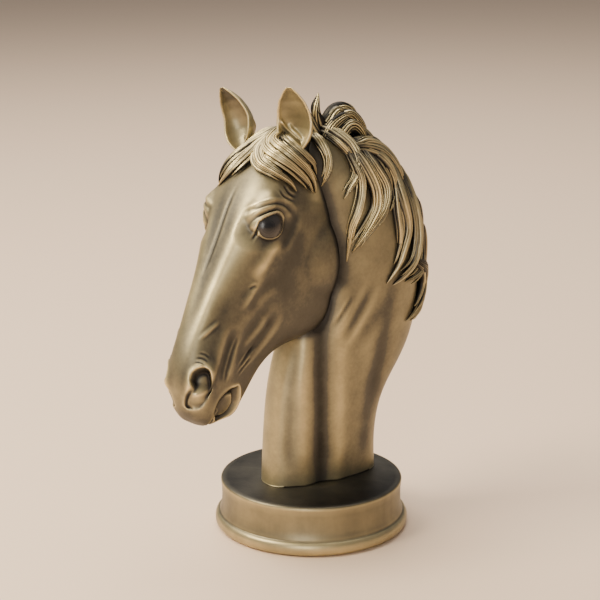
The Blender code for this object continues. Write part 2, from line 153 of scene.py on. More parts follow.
# ---- meshes ----
def add(name, data):
    """An object with a given mesh, lamp or camera, put in the scene."""
    item = bpy.data.objects.new(name, data)
    bpy.context.scene.collection.objects.link(item)
    return item


def make_object(name, verts, faces, edges=()):
    """A mesh object from points in millimetres."""
    mesh = bpy.data.meshes.new(name)
    mesh.from_pydata([tuple(v) for v in np.asarray(verts) * MM], edges, faces)
    return add(name, mesh)


def from_bmesh(name, bm):
    """A mesh object from an edited mesh, which is freed."""
    mesh = bpy.data.meshes.new(name)
    bm.to_mesh(mesh)
    bm.free()
    return add(name, mesh)


def read_points(mesh):
    """Vertices of a mesh in millimetres."""
    flat = np.empty(len(mesh.vertices) * 3)
    mesh.vertices.foreach_get("co", flat)
    return flat.reshape(-1, 3) / MM


def modify(item, kind, **settings):
    """Apply one modifier to an object."""
    step = item.modifiers.new(kind, kind)
    for key, value in settings.items():
        setattr(step, key, value)
    graph = bpy.context.evaluated_depsgraph_get()
    mesh = bpy.data.meshes.new_from_object(item.evaluated_get(graph))
    item.modifiers.clear()
    item.data = mesh
    return item


def join(name, items):
    """One object from several, which are removed."""
    bm = bmesh.new()
    for item in items:
        bm.from_mesh(item.data)
        bpy.data.objects.remove(item)
    return from_bmesh(name, bm)


def loft(name, rings, levels=3):
    """Closed skin through rings of points, rounded by subdivision."""
    count = len(rings[0])
    verts = [p for ring in rings for p in ring]
    faces = []
    for r in range(0, len(verts) - count, count):
        for i in range(count):
            j = (i + 1) % count
            faces.append((r + i, r + j, r + count + j, r + count + i))
    faces.append(tuple(range(count))[::-1])
    faces.append(tuple(range(len(verts) - count, len(verts))))
    item = make_object(name, verts, faces)
    outward(item)
    return modify(item, "SUBSURF", levels=levels, render_levels=levels)


def outward(item):
    """Turn every face outwards."""
    bm = bmesh.new()
    bm.from_mesh(item.data)
    bmesh.ops.recalc_face_normals(bm, faces=bm.faces)
    bm.to_mesh(item.data)
    bm.free()


def ball(name, centre, radii, segments=32):
    """Ellipsoid with its radii along the head's axes."""
    bm = bmesh.new()
    bmesh.ops.create_uvsphere(bm, u_segments=segments, v_segments=segments // 2, radius=1)
    stretch = Matrix(HEAD_AXES).transposed() @ Matrix.Diagonal(Vector(radii) * MM)
    place = Matrix.Translation(Vector(centre) * MM) @ stretch.to_4x4()
    bmesh.ops.transform(bm, matrix=place, verts=bm.verts)
    bmesh.ops.recalc_face_normals(bm, faces=bm.faces)
    return from_bmesh(name, bm)


def fuse(name, items, voxel, rounds):
    """Melt overlapping forms into one even skin."""
    item = modify(join(name, items), "REMESH", mode="VOXEL", voxel_size=voxel * MM)
    return modify(item, "SMOOTH", factor=0.5, iterations=rounds)


def keep_values(mesh, name, values):
    """Store a value for each vertex, for a material to read, and shade the mesh smooth."""
    layer = mesh.attributes.new(name, "FLOAT", "POINT")
    layer.data.foreach_set("value", values)
    mesh.shade_smooth()


def step_up(low, high, value):
    """Smooth step from 0 at low to 1 at high."""
    t = np.clip((value - low) / (high - low), 0, 1)
    return t * t * (3 - 2 * t)


def bump(value, centre, width):
    """Bell of height 1."""
    return np.exp(-((value - centre) / width) ** 2)


def bumps(value, rows):
    """Sum of bells given as (height, centre, width)."""
    return sum(height * bump(value, centre, width) for height, centre, width in rows)


def spline(points, per_span=8):
    """Smooth path through control points of any dimension."""
    p = np.asarray(points, float)
    p = np.vstack((2 * p[0] - p[1], p, 2 * p[-1] - p[-2]))
    t = np.linspace(0, 1, per_span, endpoint=False)[:, None]
    out = []
    for p0, p1, p2, p3 in zip(p, p[1:], p[2:], p[3:]):
        out.append(0.5 * (2 * p1 + (p2 - p0) * t + (2 * p0 - 5 * p1 + 4 * p2 - p3) * t ** 2
                          + (3 * p1 - p0 - 3 * p2 + p3) * t ** 3))
    return np.vstack(out + [p[-2][None]])


# How much relief counts at each scale: (rounds of smoothing it stands proud of, share)
RELIEF_SCALES = ((3, 1.0), (10, 0.6), (24, 0.35))
SKIN_GAIN, EAR_GAIN = 0.36, 0.20     # how strongly relief shows in the patina
CORNER_DARK = 0.40                   # extra patina and painted shade where two skins meet
HEAD_BASE_TONE, NECK_BASE_TONE = 0.47, 0.53    # base tone of the patina on a level place of the head and of the neck; the head's is darker


class Clay:
    """A dense skin, in millimetres, that strokes push and pull along its own normals."""

    def __init__(self, item):
        self.item = item
        mesh = item.data
        self.v = read_points(mesh)
        self.e = np.empty(len(mesh.edges) * 2, int)
        mesh.edges.foreach_get("vertices", self.e)
        self.e = self.e.reshape(-1, 2)
        corners = [tuple(p.vertices) for p in mesh.polygons]
        self.f = np.array([c if len(c) == 4 else c + c[-1:] for c in corners])
        self.degree = np.bincount(self.e.ravel(), minlength=len(self.v))
        # Wear, painted highlight and painted shade, added along paths.
        self.wear_and_painted_light = np.zeros(len(self.v))
        self.refresh()

    def refresh(self):
        """Normals, and the tree that points are dropped on."""
        a, b, c, d = (self.v[self.f[:, i]] for i in range(4))
        face = np.cross(c - a, d - b)
        n = np.zeros_like(self.v)
        for axis in range(3):
            for corner in range(4):
                n[:, axis] += np.bincount(self.f[:, corner], face[:, axis], len(self.v))
        self.n = unit_rows(n)
        self.tree = BVHTree.FromPolygons([Vector(p) for p in self.v], [tuple(q) for q in self.f])
        self.lift = np.zeros(len(self.v))

    def average(self, field):
        """Mean of a vector field over each vertex's neighbours."""
        out = np.zeros_like(field)
        i, j = self.e[:, 0], self.e[:, 1]
        count = len(self.v)
        for k in range(3):
            out[:, k] = np.bincount(i, field[j, k], count) + np.bincount(j, field[i, k], count)
        return out / np.maximum(self.degree, 1)[:, None]

    def relax(self, rounds):
        """Smooth the skin."""
        for _ in range(rounds):
            self.v = self.v + (self.average(self.v) - self.v) * 0.5

    def to_path(self, path, reach):
        """Distance of each vertex to a path, and how far along the path it lies."""
        far = np.full(len(self.v), 1e3)
        share = np.zeros(len(self.v))
        low, high = path.min(0) - reach, path.max(0) + reach
        near = np.nonzero(((self.v > low) & (self.v < high)).all(1))[0]
        p = self.v[near]
        best = np.full(len(near), 1e3)
        at = np.zeros(len(near))
        lengths = np.linalg.norm(np.diff(path, axis=0), axis=1)
        start = np.concatenate(([0], np.cumsum(lengths)))
        for a, b, length, s in zip(path, path[1:], lengths, start):
            ab = b - a
            t = np.clip((p - a) @ ab / max(length ** 2, 1e-9), 0, 1)
            d = np.linalg.norm(p - a - t[:, None] * ab, axis=1)
            closer = d < best
            best[closer] = d[closer]
            at[closer] = s + t[closer] * length
        far[near] = best
        share[near] = at / start[-1]
        return far, share

    def stroke(self, path, width, height, fade=0.25, lips=0.0):
        """Ridge (height above 0) or crease (below 0) along a path, faded at its ends.

        Its lips run beside it and go the other way, by a share of its height.
        """
        d, s = self.to_path(path, 4 * width + 2)
        ends = step_up(0, fade, s) * step_up(0, fade, 1 - s) if fade else 1.0
        shape = bump(d, 0, width) - lips * bump(d, 1.9 * width, 0.8 * width)
        self.lift += height * shape * ends

    def rub_and_paint_light(self, path, width, amount):
        """Rub the patina off along a path (amount above 0), or leave more of it on (below 0): wear, and
        also painted highlight and painted shade.
        """
        d, s = self.to_path(path, 3 * width)
        ends = step_up(-0.1, 0.15, s) * step_up(-0.1, 0.15, 1 - s)
        self.wear_and_painted_light += amount * bump(d, 0, width) * ends

    def settle(self):
        """Apply the gathered strokes."""
        self.v = self.v + self.n * self.lift[:, None]
        self.refresh()

    def store(self, others, gain, base_tone_and_light):
        """Write the skin back, with how proud or hollow each place is, its base tone, and its wear with
        painted highlight and painted shade.

        A place within reach of another skin, given in others as (tree, reach), counts as hollow: patina
        and painted shade in the gap.
        """
        mesh = self.item.data
        mesh.vertices.foreach_set("co", (self.v * MM).ravel())
        smooth = self.v
        relief = np.zeros(len(self.v))
        for rounds, share in RELIEF_SCALES:
            for _ in range(rounds):
                smooth = self.average(smooth)
            relief += share * ((self.v - smooth) * self.n).sum(1)
        # Patina value: base tone, wear with painted highlight and shade, and relief.
        value = base_tone_and_light + self.wear_and_painted_light + relief * gain
        # Darker near another skin: patina and painted shade in the gap.
        for other, reach in others:
            hits = [other.find_nearest(Vector(p), 3 * reach) for p in self.v]
            gap = np.array([hit[3] if hit[0] is not None else 3 * reach for hit in hits])
            value -= CORNER_DARK * bump(gap, 0, reach)
        keep_values(mesh, "relief", np.clip(value, 0, 1))
        mesh.update()


def on_both_sides(act, find_path, clay, rows):
    """Run one of the clay's tools along each row's path, on the left side and then on the right."""
    for side in (1, -1):
        for marks, *values in rows:
            act(find_path(clay, marks, side), *values)


# ---- head ----
def head_rings():
    """Sections of the head, each mirrored about the head's own middle plane."""
    rings = []
    for a, top, side, bottom in HEAD:
        half = [(0, top), *side, (0, bottom)]
        back = [(-l, n) for l, n in half[-2:0:-1]]
        rings.append([on_head(a, l, n) for l, n in half + back])
    return rings


def neck_rings():
    """Sections of the neck, laid square to its sweep."""
    rings = []
    for front_y, front_z, back_y, back_z, width in NECK:
        half = [(width * w, front_y + (back_y - front_y) * t, front_z + (back_z - front_z) * t)
                for t, w in NECK_SECTION]
        rings.append(half + [(-x, y, z) for x, y, z in half[-2:0:-1]])
    return rings


# Clay laid on the head's loft on both sides: centre (a, l, n), radii along the same axes
HEAD_CLAY = (
    ((58, 19, -6), (18, 10, 9)),  # brow
    ((54, 16, -69), (33, 13, 32)),  # cheek
    ((88, 17, -24), (26, 5, 5)),  # facial crest
    ((162, 9.5, -19), (15, 8.5, 10)),  # nostril
    ((173, 4, -34), (14, 10, 12)),  # upper lip
)
CHIN = ((163, 0, -57), (12, 9, 9))


def ray_head(clay, a, angle):
    """Where the skin lies at a place along the head and an angle round its axis."""
    turn = math.radians(angle)
    out = toward((0, math.sin(turn), math.cos(turn)), 1)
    core = on_head(a, 0, AXIS_N)
    hit = clay.tree.ray_cast(Vector(core + out * 90), Vector(-out))
    return np.array(hit[0]) if hit[0] else core + out * 25


def head_path(clay, marks, side):
    """Smooth path on the head through (a, angle) marks, mirrored for the right side."""
    return np.array([ray_head(clay, a, angle * side) for a, angle in spline(marks, 6)])


# Strokes on both sides of the head: (marks, width, height, fade, lips)
HEAD_LINES = (
    (((44, 16), (60, 18), (83, 16), (103, 14), (126, 14), (150, 15)), 5.2, 0.9, .3, .15),  # nasal ridge
    (((64, 56), (75, 52), (86, 49), (95, 46)), 5.0, 1.5, .35, 0),  # facial crest
    (((102, 45), (99, 49), (97, 54)), 0.9, -0.55, .3, .3),  # its end
    (((126, 27), (135, 21), (144, 15)), 1.1, 0.7, .35, .3),  # skin by the nostril
    (((124, 48), (138, 50), (152, 56), (162, 64)), 4.0, -1.6, .3, .3),  # above the lips
    (((128, 60), (140, 62), (152, 68), (160, 76)), 1.0, -0.5, .3, .5),  # fold in it
    (((102, 108), (108, 117), (118, 122), (130, 116), (142, 106)), 3.6, -1.4, .3, .3),  # behind the lips
    (((126, 122), (136, 112), (146, 100)), 0.9, -0.5, .3, .6),  # folds in it
    (((134, 128), (142, 118), (150, 108)), 0.8, -0.5, .3, .6),
    (((92, 92), (110, 88), (130, 84), (148, 82)), 6.0, -1.4, .3, .1),  # cheek hollow
    (((84, 76), (94, 70), (106, 65), (118, 62)), 4.5, -1.1, .35, 0),  # under the crest
    (((38, 36), (41, 44), (40, 55)), 0.8, -0.6, .3, .6),  # brow wrinkles
    (((34, 38), (37, 47), (36, 57)), 0.8, -0.6, .3, .6),
    (((40, 62), (50, 66), (62, 66), (72, 62)), 3.0, -0.9, .3, .2),  # behind the eye
    (((157, 18), (156, 25), (157, 33)), 0.6, -0.45, .3, .7),  # nostril wrinkles
    (((154, 18), (153, 25), (154, 32)), 0.6, -0.4, .3, .7),
    (((151, 19), (150, 25), (151, 31)), 0.6, -0.35, .3, .7),
)

# The one groove down the front of the nose
BRIDGE = (((40, 2), (59, 0), (77, -1), (96, -3), (108, -4)), 1.1, -0.5, 0.35, 0.05)
# Where the head is rubbed pale (amount above 0) or the patina stays: (marks, width, amount). Besides
# wear, these are painted highlights on the nose, brow, facial crest and temple, and painted shade on the
# front of the nose and the cheek
HEAD_WEAR_AND_LIGHT = (
    (((36, 20), (60, 19), (83, 17), (103, 15), (126, 14), (150, 14)), 7, 0.14),
    (((40, -8), (60, -9), (83, -10), (103, -10)), 5, -0.10),
    (((62, 36), (78, 30), (96, 24), (114, 20)), 6, 0.16),
    (((66, 56), (76, 53), (87, 50), (96, 47)), 4.5, 0.20),
    (((34, 34), (44, 32), (54, 30)), 5, 0.16),
    (((10, 72), (20, 84), (31, 92)), 7, 0.28),
    (((159, 31), (168, 31), (178, 34)), 5, 0.20),
    (((50, 80), (64, 84), (80, 88), (94, 92)), 11, -0.12),
    (((128, 56), (140, 60), (152, 68)), 8, -0.06),
)
# Folds of the lids, going away from the opening: (height, distance, width)
UPPER_FOLDS = ((0.9, 1.3, 1.1), (-1.3, 3.2, 0.7), (0.9, 5.0, 1.1), (-1.0, 7.0, 0.7), (0.5, 8.6, 1.0))
LOWER_FOLDS = ((0.3, 0.8, 0.8), (-0.4, 3.0, 1.0))


def carve_eye(clay, side):
    """Open the lids over the eyeball and fold the skin round them."""
    centre = on_side(EYE, side)
    out = unit(toward(EYE_OUT, side))
    front = square_to(toward(EYE_FRONT, side), out)
    upper = square_to(toward(EYE_UPPER, side), out, front)
    rel = clay.v - centre
    r = np.linalg.norm(rel, axis=1)
    p, q, w = rel @ front, rel @ upper, rel @ out
    near = (r < 30) & (w > 0)
    half = np.where(p > 0, *EYE_HALF_LENGTH)
    d = (((np.abs(p) / half) ** 2.1 + (np.abs(q) / EYE_HALF_HEIGHT) ** 2.1) ** 0.48 - 1) * 7.5
    top = step_up(-3, 3, q)
    lip = 0.5 + 0.9 * top
    base = (EYE_R + lip) + (r - EYE_R - lip) * step_up(0, 9, d)
    folds = top * bumps(d, UPPER_FOLDS) * (1 - 0.6 * step_up(4, 11, p))
    folds += (1 - top) * bumps(d, LOWER_FOLDS)
    target = np.where(d > 0, base + folds, EYE_R + lip)
    inside = 1 - step_up(-0.8, 0.2, d)
    target = target * (1 - inside) + (EYE_R - 1.2) * inside
    weight = near * step_up(0, 4, w) * (1 - step_up(8.5, 13, d))
    moved = r + (target - r) * weight
    clay.v = np.where(near[:, None], centre + rel * (moved / np.maximum(r, 1e-6))[:, None], clay.v)


def inside_outline(outline, x, y):
    """Signed distance to a smooth closed outline, negative inside."""
    poly = spline(outline + outline[:1], 4)[:-1]
    best = np.full(len(x), 1e3)
    inside = np.zeros(len(x), bool)
    for (x0, y0), (x1, y1) in zip(poly, np.roll(poly, -1, 0)):
        dx, dy = x1 - x0, y1 - y0
        t = np.clip(((x - x0) * dx + (y - y0) * dy) / (dx * dx + dy * dy), 0, 1)
        best = np.minimum(best, np.hypot(x - x0 - t * dx, y - y0 - t * dy))
        crosses = (y0 > y) != (y1 > y)
        with np.errstate(divide="ignore", invalid="ignore"):
            inside ^= crosses & (x < (x1 - x0) * (y - y0) / (y1 - y0 + 1e-12) + x0)
    return np.where(inside, -best, best)


# The opening seen square on, from its middle: (along the head, down towards the lip)
NOSTRIL_OUTLINE = ((-11, -1), (-10, 3), (-5, 6), (0, 7), (4, 6.6), (10, 5.6), (13.5, 2.5), (14.5, -2),
                   (13.5, -6), (9, -6.6), (4, -5), (-0.5, -7), (-5, -7), (-8.5, -4.5))
NOSTRIL_AT = 168         # along the head
NOSTRIL_ANGLE = 31       # round it


def carve_nostril(clay, side):
    """Comma-shaped opening with a rolled rim, deep above and shallow below."""
    angle = math.radians(NOSTRIL_ANGLE)
    out = unit(toward((0.12, math.sin(angle), math.cos(angle)), side))
    down = toward((0, math.cos(angle), -math.sin(angle)), side)
    centre = ray_head(clay, NOSTRIL_AT, NOSTRIL_ANGLE * side)
    rel = clay.v - centre
    p, q, w = rel @ ALONG, rel @ down, rel @ out
    near = (np.abs(w) < 11) & (np.abs(p) < 26) & (np.abs(q) < 20) & (clay.n @ out > -0.2)
    d = inside_outline(NOSTRIL_OUTLINE, p, q)
    deep = 1.6 + 6.4 * step_up(9, -2, p + 0.4 * q)
    front_edge = 2.2 * bump(d, -0.9, 0.8) * step_up(3, 7, p) * step_up(0, -4, q)
    sink = -deep * step_up(0.2, -3.0, d) - front_edge
    rim = 1.2 * bump(d, 1.2, 1.3) * step_up(-5, 2, q + 0.3 * p)
    clay.v = clay.v + np.where(near, sink + rim, 0)[:, None] * out


# The gap between the lips seen square on, from its middle: (along the head, down)
MOUTH_OUTLINE = ((-11, -2), (-9, -5), (-4, -9), (2, -11), (8, -10.5), (12, -7), (13, -2), (11.5, 4),
                 (8, 8.5), (2, 11), (-5, 10), (-10.5, 5), (-13, 1))
MOUTH_CENTRE = (168, 13, -49)
# Creases drawn over the openings: (marks, width, height, fade, lips)
LAST_CREASES = (
    (((76, 30), (71, 32), (66, 33), (62, 33)), 0.8, -1.0, 0.3, 0.3),  # tear duct
    (((176, 100), (181, 108), (184, 150), (182, 180)), 1.0, -1.6, 0, 0.2),  # between the lips
)


def carve_mouth(clay, side):
    """Lips parted at the side: a shallow hollow with a deep crack behind the thin lower lip."""
    out = unit(toward((0, 0.9, -0.42), side))
    down = unit(toward((0, -0.42, -0.9), side))
    rel = clay.v - on_side(MOUTH_CENTRE, side)
    p, q, w = rel @ ALONG, rel @ down, rel @ out
    near = (np.abs(w) < 12) & (clay.n @ out > 0)
    d = inside_outline(MOUTH_OUTLINE, p, q)
    lower = step_up(-6, 1, q - 0.25 * p)
    bowl = -2.4 * step_up(0.4, -1.4 - 3.4 * (1 - lower), d)
    crack = -3.6 * bump(d, -2.9, 0.9) * lower
    rim = 0.7 * bump(d, 0.9, 0.9) * (0.15 + 0.85 * lower)
    clay.v = clay.v + np.where(near, bowl + crack + rim, 0)[:, None] * out


def make_head():
    """Head from poll to lips: forms first, then lines, openings, the last creases and the patina with its
    wear, painted highlights and painted shade.
    """
    forms = [loft("head_form", head_rings())]
    for mark, radii in HEAD_CLAY:
        forms += [ball("clay", on_side(mark, side), radii) for side in (1, -1)]
    forms.append(ball("clay", on_head(*CHIN[0]), CHIN[1]))
    clay = Clay(fuse("bust_head", forms, HEAD_VOXEL, 14))
    clay.relax(16)
    clay.refresh()
    on_both_sides(clay.stroke, head_path, clay, HEAD_LINES)
    marks, *values = BRIDGE
    clay.stroke(head_path(clay, marks, 1), *values)
    clay.settle()
    for carve in (carve_eye, carve_nostril, carve_mouth):
        for side in (1, -1):
            carve(clay, side)
        clay.refresh()
    on_both_sides(clay.stroke, head_path, clay, LAST_CREASES)
    clay.settle()
    clay.relax(1)
    clay.refresh()
    # Wear, painted highlights and painted shade on the head.
    on_both_sides(clay.rub_and_paint_light, head_path, clay, HEAD_WEAR_AND_LIGHT)
    return clay


# ---- neck ----
def skin_beside(clays, y, z, side, core):
    """Outermost skin point and normal in the side view; off the skin, the nearest to the core."""
    start, inward = Vector((side * 90, y, z)), Vector((-side, 0, 0))
    hits = [clay.tree.ray_cast(start, inward) for clay in clays]
    hits = [hit for hit in hits if hit[0] is not None]
    if hits:
        best = max(hits, key=lambda hit: hit[0].x * side)
    else:
        near = [clay.tree.find_nearest(Vector((side * core, y, z))) for clay in clays]
        best = min(near, key=lambda hit: hit[3])
    return np.array(best[0]), np.array(best[1])


def side_path(clay, marks, side):
    """Smooth path on the neck through (y, z) marks of the side view."""
    return np.array([skin_beside([clay], y, z, side, 2)[0] for y, z in spline(marks, 6)])


# Strokes on both sides of the neck: (marks, width, height, fade, lips)
NECK_LINES = (
    (((-2, 172), (-3, 150), (-4, 120), (-3, 80), (-2, 18)), 7.0, -2.2, .06, .3),  # jugular groove
    (((-15, 140), (-20, 118), (-24, 95), (-25, 40)), 5.0, -0.9, .2, .2),
    (((18, 162), (10, 149), (3, 138)), 1.3, -0.35, .4, .5),  # skin folds
    (((34, 172), (24, 152), (14, 136), (5, 124)), 3.0, -0.5, .4, .4),
    (((46, 160), (34, 142), (22, 126), (14, 112)), 4.4, -0.4, .4, .3),
    (((50, 134), (44, 114), (40, 96), (38, 66)), 7.0, -1.2, .4, .2),
)
# Patina left in the jugular groove and along the nape, and rubbed off between them and by the jaw;
# these also paint the neck's bands of light and shade: painted highlight and painted shade
NECK_WEAR_AND_LIGHT = (
    (((-2, 165), (-3, 140), (-4, 110), (-3, 80), (-2, 40)), 5.5, -0.16),
    (((18, 150), (15, 120), (14, 90), (14, 50)), 7, 0.08),
    (((48, 170), (44, 140), (38, 110), (34, 80), (32, 45)), 6, -0.14),
    (((8, 240), (20, 222), (32, 200)), 7, 0.14),
)


def make_neck():
    """Neck from its foot to the poll, with its muscles, the jugular groove and skin folds."""
    clay = Clay(fuse("bust_neck", [loft("neck_form", neck_rings())], NECK_VOXEL, 6))
    on_both_sides(clay.stroke, side_path, clay, NECK_LINES)
    clay.settle()
    below = clay.v[:, 2] < FOOT_Z
    clay.v[below, 2] = FOOT_Z
    clay.refresh()
    # Patina, wear and painted bands of highlight and shade on the neck.
    on_both_sides(clay.rub_and_paint_light, side_path, clay, NECK_WEAR_AND_LIGHT)
    return clay


# ---- ears and eyes ----
# For each side: foot and tip in head coordinates, which way the cup opens (along, out, up), how
# round its foot is, how much flatter its tip, and its base tone, set lighter on the left ear as painted
# light
EARS = {
    1: ((9, 17, -17), (-19, 22, 16), (0.80, 0.25, 0.50), 0.95, 0.50, 0.78),
    -1: ((11, 24, -13), (-16, 32, 19), (0.80, 0.0, 0.50), 1.0, 0.20, 0.64),
}
# Up the ear: (share of its length, half width)
EAR_WIDTH = ((0, 3.5), (.08, 6.8), (.17, 9.8), (.3, 12), (.45, 12.4), (.6, 11.6), (.75, 9.6), (.88, 6.2),
             (.96, 3.4), (1, 1.4))
EAR_WALL = 1.8
# Folds in the mouth of the ear: marks (share up the ear, degrees round the cup), width, height
EAR_FOLDS = (
    (((.50, -80), (.38, -64), (.26, -42), (.16, -14), (.08, 8)), 1.3, 2.2),
    (((.38, -38), (.28, -28), (.20, -6), (.12, 20)), 1.0, 1.6),
)


def make_ear(name, side):
    """Cupped leaf with a rolled rim and two folds in its mouth, opening forwards and outwards."""
    foot, tip, facing, roundness, flatter, base_tone_and_light = EARS[side]
    base = on_side(foot, side)
    tip = on_side(tip, side)
    axis = unit(tip - base)
    facing = square_to(toward(facing, side), axis)
    across = np.cross(axis, facing) * side

    def place(share, turn, inset):
        """Point on the ear: share of the way up, radians round the cup, inset from its back."""
        width = np.interp(share, *zip(*EAR_WIDTH))
        cup = roundness - flatter * step_up(0.05, 0.7, share)
        centre = base + (tip - base) * share - facing * (3 * math.sin(math.pi * share) + 2 * share)
        reach = max(width - inset, 0.3)
        return centre + across * (reach * math.sin(turn)) - facing * (reach * cup * math.cos(turn))

    rings = []
    for share in np.linspace(0, 1, 40):
        wall = min(EAR_WALL, np.interp(share, *zip(*EAR_WIDTH)) * 0.40)
        turns = np.radians(np.linspace(-1, 1, 25) * (128 - 42 * min(1, share / 0.5)))
        outer = [place(share, turn, 0) for turn in turns]
        rings.append(outer + [place(share, turn, wall) for turn in turns[::-1]])
    clay = Clay(fuse(name, [loft(name, rings, levels=1)], EAR_VOXEL, 4))
    for marks, width, height in EAR_FOLDS:
        path = [place(share, math.radians(turn), 1.6) for share, turn in spline(marks, 8)]
        clay.stroke(np.array(path), width, height, 0.2)
    clay.settle()
    # The left ear's lighter base tone is painted light.
    clay.store((), EAR_GAIN, base_tone_and_light)
    return clay.item


# ---- hair ----
def lock_mesh(points, normals, width, thick, strands):
    """Verts, faces and relief of a tapered lock of round strands that rolls a little on its path."""
    p = np.asarray(points, float)
    n = np.asarray(normals, float)
    t = unit_rows(np.gradient(p, axis=0))
    n = unit_rows(n - t * (n * t).sum(1)[:, None])
    b = np.cross(t, n)
    s = np.linspace(0, 1, len(p))
    roll = CHANCE.uniform(-0.25, 0.25)
    swing = CHANCE.uniform(0.1, 0.4)
    roll = roll + swing * np.sin(6.3 * s * CHANCE.uniform(0.5, 1) + CHANCE.uniform(0, 6))
    cos, sin = np.cos(roll)[:, None], np.sin(roll)[:, None]
    b, n = b * cos + n * sin, n * cos - b * sin
    sway = CHANCE.uniform(0.10, 0.22) * width
    sway = sway * np.sin(6.3 * s * CHANCE.uniform(0.9, 1.5) + CHANCE.uniform(0, 6))
    p = p + b * (sway * step_up(0, 0.3, s))[:, None]
    wide = width * np.minimum(1, s / 0.22 + 0.35) * (1 - s ** 2.6) ** 0.85 + 0.12
    high = thick * np.minimum(1, s / 0.25 + 0.4) * (1 - s ** 3) ** 0.75 + 0.12
    cuts = np.linspace(-1, 1, strands + 1)
    cuts[1:-1] += np.array([CHANCE.uniform(-0.28, 0.28) / strands * 2 for _ in range(strands - 1)])
    u = np.concatenate([np.linspace(lo, hi, 6)[:-1] for lo, hi in zip(cuts, cuts[1:])] + [[1.0]])
    slot = np.clip(np.searchsorted(cuts, u, side="right") - 1, 0, strands - 1)
    arch = np.sqrt(np.clip(1 - (2 * (u - cuts[slot]) / (cuts[slot + 1] - cuts[slot]) - 1) ** 2, 0, 1))
    pride = np.array([CHANCE.uniform(0.75, 1.0) for _ in range(strands)])[slot]
    crown = np.sqrt(np.clip(1 - u ** 2, 0, 1))
    drift = 0.22 * np.sin(4.5 * s + CHANCE.uniform(0, 6))[:, None] * (1 - u ** 2)[None]
    top = high[:, None] * crown * (0.46 + 0.54 * arch * pride)
    under = np.array((0.75, 0.0, -0.75))
    across = np.hstack((u[None] + drift, np.repeat(under[None], len(p), 0)))
    height = np.hstack((top, np.repeat(-0.6 * high[:, None], 3, 1)))
    verts = p[:, None] + b[:, None] * (wide[:, None] * across)[..., None] + n[:, None] * height[..., None]
    shade = np.clip(0.04 + 0.98 * (arch * pride) ** 1.5 * (0.25 + 0.75 * crown), 0, 1)
    # Each lock is darker towards its root: painted shade.
    shade = shade[None] * (0.45 + 0.55 * step_up(0, 0.3, s))[:, None]
    relief = np.hstack((shade, np.full((len(p), 3), 0.08)))
    ring = len(u) + 3
    i, j = np.meshgrid(np.arange(len(p) - 1), np.arange(ring), indexing="ij")
    k = (j + 1) % ring
    faces = np.stack((i * ring + j, i * ring + k, (i + 1) * ring + k, (i + 1) * ring + j), -1)
    caps = [tuple(range(ring))[::-1], tuple(range(len(p) * ring - ring, len(p) * ring))]
    return verts.reshape(-1, 3), [tuple(f) for f in faces.reshape(-1, 4)] + caps, relief.ravel()


# A lock and its companions: (offset in half widths, scale, rise, strands)
BUNDLE = ((0, 1, 0, 5), (-0.75, 0.55, -0.8, 3), (0.75, 0.55, -0.5, 3), (-0.35, 0.40, 1.0, 2),
          (0.40, 0.36, 0.9, 2))


class Hair:
    """Collects locks into one piece."""

    def __init__(self, name, clays):
        self.name = name
        self.clays = clays
        self.verts, self.faces, self.relief = [], [], []
        self.count = 0

    def add(self, points, normals, width, thick, strands):
        """Add one lock."""
        verts, faces, relief = lock_mesh(points, normals, width, thick, strands)
        self.verts.append(verts)
        self.faces.extend(tuple(int(i) + self.count for i in face) for face in faces)
        self.relief.append(relief)
        self.count += len(verts)

    def bundle(self, path, drop, width, thick):
        """A lock with thinner companions beside and above it; drop finds the skin at (u, v)."""
        step = unit_rows(np.gradient(path[:, :2], axis=0))
        aside = np.stack((-step[:, 1], step[:, 0]), 1)
        for offset, scale, rise, count in BUNDLE:
            first, last = 0, len(path)
            if offset:
                first = int(len(path) * CHANCE.uniform(0.0, 0.12))
                last = int(len(path) * CHANCE.uniform(0.72, 0.97))
            run = path[first:last]
            spread = np.linspace(0.6, 1.1, len(run)) * offset * width
            places = run[:, :2] + aside[first:last] * spread[:, None]
            points, normals = [], []
            for (u, v), lift in zip(places, run[:, 2]):
                point, normal = drop(u, v)
                points.append(point + normal * (lift + rise))
                normals.append(normal)
            high = thick * max(scale, 0.6)
            self.add(soften(points, 3), soften(normals, 5), width * scale, high, count)

    def side_lock(self, marks, width, thick, side):
        """A lock laid on the neck along (y, z, lift) marks of the side view."""
        def drop(y, z):
            return skin_beside(self.clays, y, z, side, 3)

        self.bundle(spline(marks, 9), drop, width, thick)

    def brow_lock(self, clay, marks, width, thick):
        """A lock laid on the brow along (a, angle, lift) marks; two degrees count as a millimetre."""
        path = spline(marks, 9) * (1, 0.5, 1)

        def drop(a, half_angle):
            point = ray_head(clay, a, half_angle * 2)
            return point, np.array(clay.tree.find_nearest(Vector(point))[1])

        self.bundle(path, drop, width, thick)

    def free_lock(self, marks, normal, width, thick, strands):
        """A lock that stands free of the skin along (x, y, z) marks, rounded on both faces."""
        path = spline(marks, 9)
        for face in (1, -1):
            self.add(path, [normal * face] * len(path), width, thick, strands)

    def finish(self):
        """The joined piece, with its groove pattern and the painted shade at the lock roots stored for
        the patina.
        """
        item = make_object(self.name, np.vstack(self.verts), self.faces)
        keep_values(item.data, "relief", np.concatenate(self.relief))
        outward(item)
        return item


def soften(values, rounds):
    """Even out a run of vectors."""
    values = np.asarray(values, float)
    for _ in range(rounds):
        inner = (values[:-2] + 2 * values[1:-1] + values[2:]) / 4
        values = np.vstack((values[:1], inner, values[-1:]))
    return values


